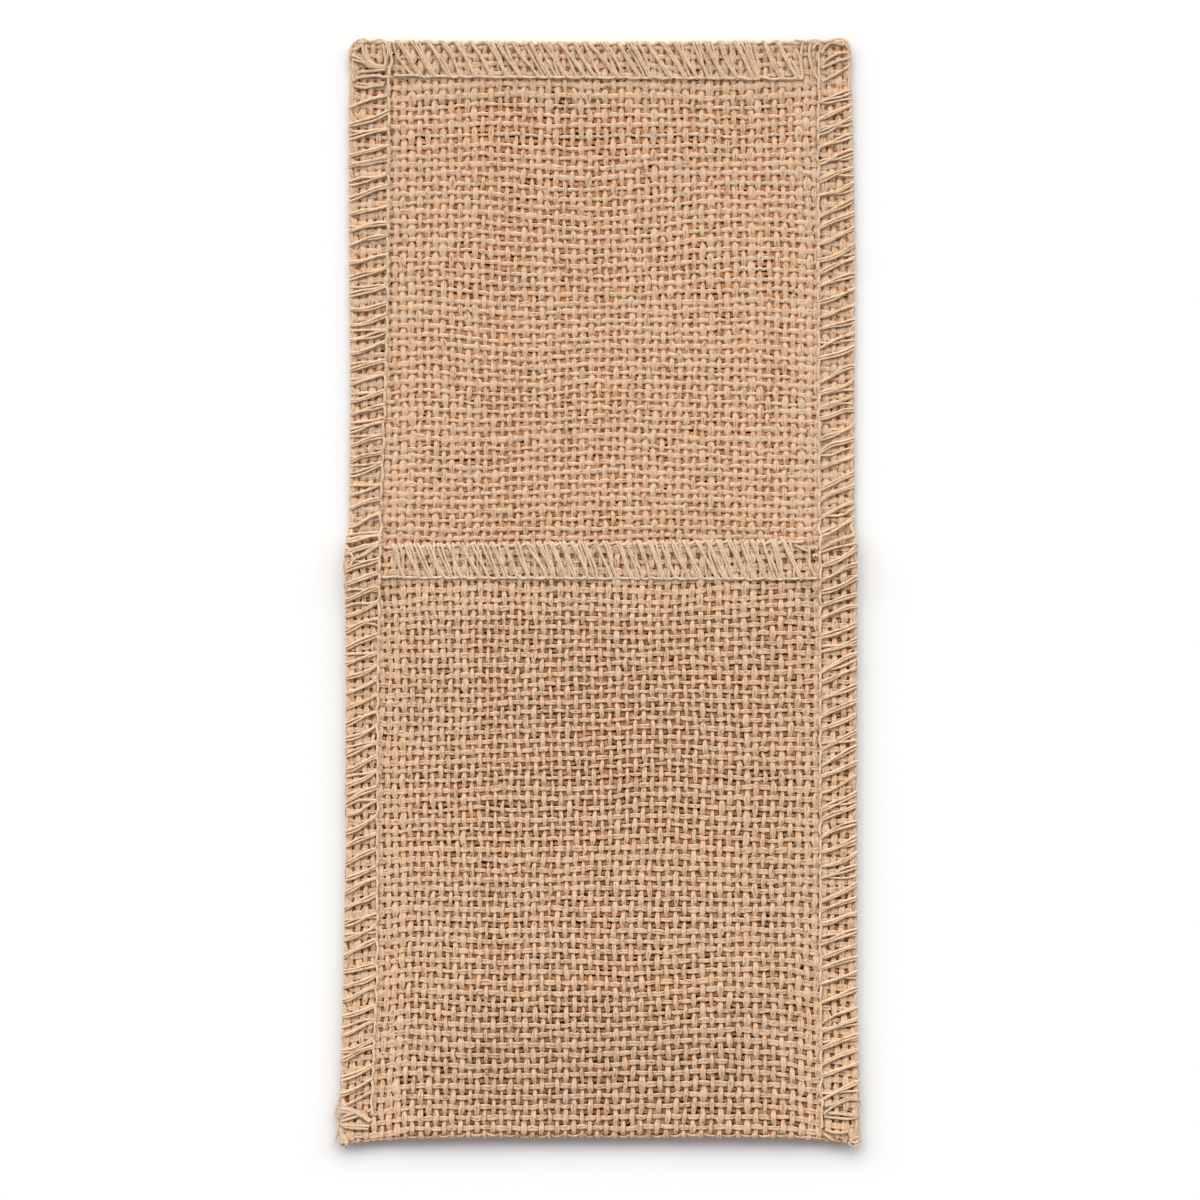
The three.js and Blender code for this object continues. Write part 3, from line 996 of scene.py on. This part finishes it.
def sewNeedleThread(batch, name, run, edge, lean):
    t = np.arange(*run["needle"], needleThread["step"])
    holes = np.sort(edge + lean)
    gone = np.interp(t, holes, np.arange(len(holes)))
    near = np.abs(t[:, None] - holes[None, :]).min(axis=1)
    dip = np.exp(-((near / needleThread["hole"]) ** 2))
    wave = unevenLines(stitches["seed"] + 3, 2, t, needleThread["wanderWave"]) * needleThread["wander"]
    wave = wave + needleThread["bow"] * (np.sin(math.pi * (gone % 1)) - 0.5)
    own = unevenLines(stitches["seed"] + 9, 1, t, needleThread["unevenWave"])
    for face, raised, inHole in needleThread["faces"]:
        levels = np.full(len(t), float(face))
        centre = bandPoints(name, t, 1 + wave[face] * inwardsAt(name, t), levels, raised + inHole * dip)
        size = needleThread["size"] - needleThread["thinner"] * dip + needleThread["uneven"] * own
        size = 2 * stitches["radius"] * size
        thick = size * needleThread["flatness"]
        addTubes(batch, centre[None], (0, 0, 1), size, thick, stitches["sides"], needleThread["tone"])


# Two threads link up around the edge

rope = {
    "step": 0.42,
    "turn": 0.20,
    "lag": 0.4,  # of one thread's turn behind the other's
    "beyond": 0.6,  # turns before the first stitch and after the last
    "swing": 0.26,  # up and down, of the band's thickness
    "wander": 0.10,
    "wanderWave": 4.0,
    "uneven": 0.12,
    "unevenWave": 3.0,
}


def sewRope(batch, name, run, edge):
    ropeFrom, ropeTo, ropeInset, ropeSize = run["rope"]
    t = np.arange(ropeFrom, ropeTo, rope["step"])
    last = len(edge) - 1
    turn = np.interp(t, edge, np.arange(len(edge)), left=-rope["beyond"], right=last + rope["beyond"])
    turn = 2 * math.pi * turn
    wander = rope["wander"] * unevenLines(stitches["seed"] + 5, 1, t, rope["wanderWave"])[0]
    own = rope["uneven"] * unevenLines(stitches["seed"] + 7, 1, t, rope["unevenWave"])
    for phase in (0, math.pi):
        inset = ropeInset - rope["turn"] * np.cos(turn + phase * rope["lag"]) - wander
        levels = 0.5 + rope["swing"] * np.sin(0.5 * turn + phase)
        centre = bandPoints(name, t, inset * inwardsAt(name, t), levels)
        size = 2 * stitches["radius"] * ropeSize * (1.0 + own)
        addTubes(batch, centre[None], (0, 0, 1), size, size, stitches["sides"], run["tone"])


# Loops and ends at the corners, each a line of points seen from above

cornerLoops = {
    "topLeft": [
        [(-54.0, 114.0), (-54.1, 116.2), (-53.9, 118.0), (-52.9, 119.3), (-52.0, 119.9), (-50.9, 120.0)],
        [(-52.4, 119.7), (-50.9, 120.1), (-50.3, 119.6), (-48.9, 119.6), (-47.5, 119.9), (-46.5, 119.4),
         (-45.5, 118.2), (-44.8, 116.8)],
        [(-51.3, 119.0), (-51.2, 117.8), (-50.9, 116.6), (-50.1, 115.4), (-48.9, 114.5), (-47.5, 114.1),
         (-46.5, 114.3), (-46.3, 115.4), (-46.5, 116.8), (-46.7, 118.2), (-47.1, 119.0)],
        [(-50.6, 118.8), (-50.5, 117.4), (-49.9, 115.8), (-48.9, 114.7), (-47.5, 114.3)],
        [(-53.6, 116.5), (-52.2, 116.0), (-50.7, 115.1), (-49.1, 114.2), (-47.1, 113.8), (-46.2, 114.0)],
        [(-53.4, 115.6), (-51.4, 115.0), (-49.9, 114.1), (-47.9, 113.8)],
        [(-53.9, 118.2), (-53.2, 117.7), (-52.2, 118.2), (-51.4, 119.0)],
        [(-52.4, 112.9), (-49.5, 113.1), (-46.3, 113.4)],
        [(-45.5, 119.2), (-45.2, 116.8), (-44.9, 115.2), (-45.5, 113.5), (-45.5, 112.1)],
        [(-46.3, 118.8), (-45.7, 117.4), (-46.0, 115.8), (-46.3, 114.5)],
        [(-44.6, 119.0), (-44.2, 117.6), (-43.6, 116.1), (-42.6, 114.9), (-41.6, 113.5), (-40.2, 112.0)],
        [(-53.4, 110.9), (-52.6, 111.5), (-51.0, 111.9), (-48.5, 112.1), (-46.5, 111.8), (-45.0, 111.9)],
        [(-52.6, 110.5), (-50.9, 110.2), (-48.5, 110.3), (-46.4, 110.7)],
        [(-53.1, 109.9), (-50.9, 109.5), (-48.9, 109.9), (-46.7, 110.1)],
    ],
    "topRight": [
        [(42.7, 117.8), (43.4, 116.2), (43.9, 113.9), (43.9, 111.5)],
        [(44.2, 119.2), (43.8, 116.8), (44.0, 113.9), (44.2, 111.5)],
        [(41.9, 115.4), (42.9, 113.5), (43.5, 111.8), (44.1, 111.3)],
        [(45.8, 119.0), (45.6, 116.6), (46.2, 113.9), (46.9, 112.3), (47.9, 111.0)],
        [(46.4, 117.8), (47.2, 119.0), (48.0, 118.8), (47.9, 117.6), (47.2, 116.0), (47.9, 115.1),
         (47.9, 113.9)],
        [(48.2, 117.0), (49.3, 118.5), (50.7, 119.2), (53.1, 118.8)],
        [(54.1, 117.1), (52.1, 117.0), (49.7, 115.8), (48.2, 114.4)],
        [(54.5, 116.0), (52.1, 115.4), (50.1, 114.6), (48.3, 113.8)],
        [(52.6, 119.7), (53.5, 118.9), (54.2, 117.8), (54.8, 115.8)],
        [(54.8, 114.6), (53.1, 113.4), (51.1, 112.3), (48.5, 110.9)],
        [(42.5, 119.8), (44.6, 119.5), (46.8, 119.8), (49.0, 119.5), (51.2, 119.9), (52.9, 120.1),
         (54.0, 119.2)],
    ],
    "mouthLeft": [
        [(-47.1, 11.5), (-47.9, 10.6), (-49.3, 9.6), (-50.9, 8.4), (-52.3, 7.5)],
        [(-47.6, 10.4), (-49.1, 9.4), (-50.7, 8.3), (-52.9, 7.4), (-54.0, 5.8)],
        [(-54.6, 8.6), (-53.6, 8.2), (-53.3, 7.6), (-53.8, 7.2)],
        [(-55.0, 9.6), (-53.8, 9.4), (-51.9, 9.8), (-51.0, 10.3), (-49.9, 10.3)],
    ],
    "mouthRight": [
        [(45.6, 9.8), (45.5, 7.4), (46.0, 5.1), (47.0, 3.4)],
        [(42.3, 10.4), (43.8, 9.6), (45.2, 9.0)],
        [(46.2, 9.4), (46.8, 10.0), (47.2, 9.4)],
        [(46.4, 7.8), (46.9, 8.3), (47.4, 7.8)],
    ],
    "bottomLeft": [
        [(-55.2, -111.3), (-53.0, -110.2), (-50.8, -109.0), (-49.3, -108.2)],
        [(-56.3, -112.6), (-54.4, -112.7), (-52.8, -112.8)],
        [(-56.0, -114.1), (-54.6, -113.3), (-52.9, -112.8)],
        [(-55.9, -114.6), (-53.6, -113.9), (-51.7, -113.3)],
        [(-50.1, -112.5), (-49.1, -111.7)],
        [(-56.3, -112.2), (-54.8, -112.0), (-53.2, -112.6), (-51.4, -113.6), (-49.7, -114.7)],
        [(-56.7, -111.9), (-55.4, -111.7), (-53.6, -111.9), (-51.8, -112.9), (-50.4, -113.7),
         (-49.4, -114.5)],
        [(-56.3, -114.9), (-55.4, -115.7), (-53.8, -116.1), (-51.8, -116.2), (-50.0, -116.3)],
        [(-56.0, -115.3), (-54.4, -115.5), (-51.8, -115.6), (-49.8, -115.7)],
        [(-55.6, -108.4), (-56.3, -110.2), (-57.0, -111.9), (-57.2, -112.9), (-56.7, -114.1),
         (-56.3, -115.1), (-56.5, -116.6), (-56.9, -118.0)],
        [(-56.1, -116.1), (-55.6, -117.2), (-54.9, -118.4), (-54.5, -119.4)],
        [(-56.3, -116.2), (-55.9, -117.4), (-55.3, -118.6), (-54.9, -119.5)],
        [(-56.4, -116.5), (-56.2, -117.6), (-55.7, -118.8), (-55.4, -119.4)],
        [(-56.3, -115.9), (-57.0, -118.0), (-57.2, -119.0)],
        [(-55.1, -119.5), (-54.6, -119.8), (-54.9, -120.4)],
    ],
    "bottomRight": [
        [(48.8, -113.1), (50.3, -111.7), (52.3, -110.6), (54.3, -109.9), (56.0, -110.1), (56.9, -110.8)],
        [(49.0, -111.3), (51.3, -110.8), (53.3, -109.8), (55.1, -109.6), (56.6, -110.4)],
        [(49.7, -112.9), (52.3, -113.0), (54.3, -113.3), (56.1, -113.4)],
        [(48.8, -113.6), (51.3, -113.9), (54.3, -114.1), (56.0, -113.7)],
        [(48.6, -117.2), (49.7, -118.0), (50.8, -118.7)],
        [(49.0, -116.3), (50.3, -116.9), (52.3, -117.1), (54.0, -116.8)],
        [(56.9, -110.8), (56.4, -111.9), (56.4, -113.3), (56.2, -115.0), (56.5, -116.6), (56.7, -118.0)],
        [(54.7, -116.1), (54.3, -117.2), (55.0, -118.4), (56.2, -118.0), (56.7, -117.2)],
        [(55.1, -116.2), (54.8, -117.2), (55.3, -118.2)],
        [(55.6, -116.3), (55.4, -117.2), (55.8, -118.2)],
        [(54.1, -119.0), (54.6, -119.9), (55.2, -120.1), (56.2, -119.5), (56.7, -118.8)],
        [(54.3, -118.4), (55.1, -119.2), (56.0, -119.0), (56.6, -118.2)],
    ],
}

loopThread = {
    "sides": 6,
    "spacing": 0.4,
    "raised": (0.05, 0.14, 0.23),  # over the pouch, by turns
    "roll": 0.9,  # over the pouch's outline, seen from above
    "foldReach": 0.3,  # past the fold
    "sizes": (0.92, 1.1),
    "tone": (-3.0, 0.7),
}


def smoothPath(points, spacing):
    points = np.array(points, float)
    reach = np.concatenate([[0], np.cumsum(np.linalg.norm(np.diff(points, axis=0), axis=1))])
    wanted = np.linspace(0, reach[-1], max(4, int(reach[-1] / spacing)))
    return smoothRead(points, np.interp(wanted, reach, np.arange(len(points))))


# The height of a thread's middle that lies on the pouch and rolls over its outline
def restHeight(x, y):
    low, top = threadHeights(x, y)
    fromFold = y - foldEdge(x) + loopThread["foldReach"]
    inside = np.minimum(np.minimum(sideDistance(x, y), topEdge(x) - y), fromFold)
    roll = np.clip(inside / loopThread["roll"], 0, 1)
    return mix((low + top) / 2, top, np.sqrt(1 - (1 - roll) ** 2))


def addLoops(batch, corner):
    draw = np.random.default_rng(stitches["seed"] + len(corner))
    levels = loopThread["raised"]
    for order, points in enumerate(cornerLoops[corner]):
        path = smoothPath(points, loopThread["spacing"])
        z = restHeight(path[:, 0], path[:, 1]) + levels[order % len(levels)]
        centre = np.concatenate([path, z[:, None]], axis=1)
        size = 2 * stitches["radius"] * draw.uniform(*loopThread["sizes"])
        thick = size * stitches["flatness"]
        tone = draw.normal(*loopThread["tone"])
        addTubes(batch, centre[None], (0, 0, 1), size, thick, loopThread["sides"], tone)


def buildThreads():
    corners = {
        "left": ("topLeft", "mouthLeft", "bottomLeft"),
        "right": ("topRight", "bottomRight"),
        "mouth": ("mouthRight",),
    }
    for name, run in runs.items():
        batch = []
        edge, lean = sewPairs(batch, name, run)
        sewNeedleThread(batch, name, run, edge, lean)
        sewRope(batch, name, run, edge)
        for corner in corners.get(name, ()):
            addLoops(batch, corner)
        piece = finishMesh(f"{name}Stitches", batch, threadMaterial)
        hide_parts(f"edging_{name}")


buildThreads()
print("stitches made")

# Stray fibres of the jute over both faces and along the edges

strayFibres = {
    "sides": 3,
    "points": 5,  # along a fibre
    "radius": (0.022, 0.042),
    "taper": (1.15, 0.6),  # of the radius at the root, and less by this at the tip
    "tone": (1.2, 0.9),
    "tableGap": 0.08,
    "endGap": 0.2,  # from the strip's ends
    "onCloth": 2150,
    "clothLength": (1.6, 6.5),
    "clothInset": (0.06, 0.94),  # of the strip's width
    "clothEnds": 2,  # none starts nearer the strip's ends
    "offset": (0.1, 0.62),  # from the cloth's middle
    "outside": 0.75,  # of them are on the face that is seen
    "clothCurl": 1.6,
    "clothLift": 0.16,
    "atEdges": 260,
    "edgeLength": (0.5, 1.6),
    "edgeReach": (-0.004, 0.02),  # of the strip's width, from its edge
    "edgeOffset": 0.5,
    "edgeTurn": 0.9,
    "edgeCurl": 1.5,
    "edgeLift": 0.15,
    "seed": 77,
}


def buildFibres():
    draw = np.random.default_rng(strayFibres["seed"])
    batch = []

    def grow(across, along, offset, angle, length, curl, lift):
        part = np.linspace(0, 1, strayFibres["points"])
        bend = angle[:, None] + curl[:, None] * part[None, :]
        stride = length[:, None] / (len(part) - 1)
        du = np.cumsum(np.cos(bend), axis=1) * stride
        dv = np.cumsum(np.sin(bend), axis=1) * stride
        gap = strayFibres["endGap"]
        v = np.clip(along[:, None] + dv, gap, clothLength - gap)
        centre, normal = stripFrame(across[:, None] + du / clothWidth, v)
        centre = centre + normal * (offset[:, None] + lift[:, None] * np.sin(math.pi * part))[..., None]
        atRoot, less = strayFibres["taper"]
        size = 2 * draw.uniform(*strayFibres["radius"], (len(across), 1)) * (atRoot - less * part[None, :])
        centre[..., 2] = np.maximum(centre[..., 2], strayFibres["tableGap"])
        tone = draw.normal(*strayFibres["tone"], (len(across), 1))
        addTubes(batch, centre, normal, size, size, strayFibres["sides"], tone)

    count, ends = strayFibres["onCloth"], strayFibres["clothEnds"]
    along = draw.uniform(ends, clothLength - ends, count)
    seen = np.where(along > cloth["backLength"], -1, 1)
    side = np.where(draw.random(count) < strayFibres["outside"], seen, -seen)
    grow(
        draw.uniform(*strayFibres["clothInset"], count),
        along,
        side * draw.uniform(*strayFibres["offset"], count),
        draw.uniform(0, 2 * math.pi, count),
        draw.uniform(*strayFibres["clothLength"], count),
        draw.normal(0, strayFibres["clothCurl"], count),
        side * draw.exponential(strayFibres["clothLift"], count),
    )
    count = strayFibres["atEdges"]
    leftSide = draw.random(count) < 0.5
    outwards, inwards = strayFibres["edgeReach"]
    nearEdges = draw.uniform(outwards, inwards, count), draw.uniform(1 - inwards, 1 - outwards, count)
    grow(
        np.where(leftSide, *nearEdges),
        draw.uniform(0, clothLength, count),
        draw.uniform(-strayFibres["edgeOffset"], strayFibres["edgeOffset"], count),
        np.where(leftSide, math.pi, 0) + draw.normal(0, strayFibres["edgeTurn"], count),
        draw.uniform(*strayFibres["edgeLength"], count),
        draw.normal(0, strayFibres["edgeCurl"], count),
        draw.normal(0, strayFibres["edgeLift"], count),
    )
    finishMesh("strayFibres", batch, juteMaterial)


buildFibres()
print("fibres made")

# Stage, light and camera

stage = {
    "floorSize": 6.0,
    "floorColour": (0.81, 0.81, 0.81),
    "domeColour": (0.985, 0.99, 1.0),
    "domeStrength": 0.378,
    "lampColour": (1.0, 0.99, 0.97),
    "lamps": [  # strength, degrees across, above the table and to the left of the picture's top
        ("keyLight", 1.82, 44.0, 40.0, 0.0),
        ("leftLight", 1.72, 50.0, 32.0, 50.0),
        ("rightLight", 1.25, 50.0, 32.0, -50.0),
    ],
}

photo = {
    "width": 1200,
    "middleColumn": 599.0,  # the pixel column and row of the pouch's middle
    "middleRow": 592.5,
    "mmPerPixel": 0.21719,
    "distance": 1.6,
    "sensor": 36.0,
}


def buildStage():
    size = stage["floorSize"] / 2
    mesh = bpy.data.meshes.new("floor")
    corners = [(-size, -size, 0), (size, -size, 0), (size, size, 0), (-size, size, 0)]
    mesh.from_pydata(corners, [], [(0, 1, 2, 3)])
    floor = bpy.data.objects.new("floor", mesh)
    bpy.context.scene.collection.objects.link(floor)
    material = bpy.data.materials.new("paleFloor")
    material.use_nodes = True
    shader = material.node_tree.nodes["Principled BSDF"]
    shader.inputs["Base Color"].default_value = (*stage["floorColour"], 1)
    shader.inputs["Roughness"].default_value = 1.0
    shader.inputs["Specular IOR Level"].default_value = 0.0
    mesh.materials.append(material)


def buildLight():
    scene = bpy.context.scene
    world = bpy.data.worlds.new("softDome")
    world.use_nodes = True
    background = world.node_tree.nodes["Background"]
    background.inputs["Color"].default_value = (*stage["domeColour"], 1)
    background.inputs["Strength"].default_value = stage["domeStrength"]
    scene.world = world
    for name, strength, spread, height, turn in stage["lamps"]:
        lamp = bpy.data.lights.new(name, "SUN")
        lamp.energy = strength
        lamp.angle = math.radians(spread)
        lamp.color = stage["lampColour"]
        holder = bpy.data.objects.new(name, lamp)
        holder.rotation_euler = (math.radians(height - 90), 0, math.radians(turn))
        scene.collection.objects.link(holder)


def buildCamera():
    scene = bpy.context.scene
    lens = bpy.data.cameras.new("camera")
    lens.sensor_width = photo["sensor"]
    frameWidth = photo["width"] * photo["mmPerPixel"] * metresPerMm
    lens.lens = photo["sensor"] * photo["distance"] / frameWidth
    lens.clip_start, lens.clip_end = 0.01, 20
    camera = bpy.data.objects.new("camera", lens)
    half = photo["width"] / 2
    x = (half - photo["middleColumn"]) * photo["mmPerPixel"] * metresPerMm
    y = (photo["middleRow"] - half) * photo["mmPerPixel"] * metresPerMm
    camera.location = (x, y, photo["distance"])
    scene.collection.objects.link(camera)
    scene.camera = camera
    scene.view_settings.view_transform = "Standard"
    scene.view_settings.look = "None"


buildStage()
buildLight()
buildCamera()

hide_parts("cloth")

meshes = [thing.data for thing in bpy.data.objects if thing.type == "MESH"]
print("triangles in all", sum(len(mesh.loops) - 2 * len(mesh.polygons) for mesh in meshes))
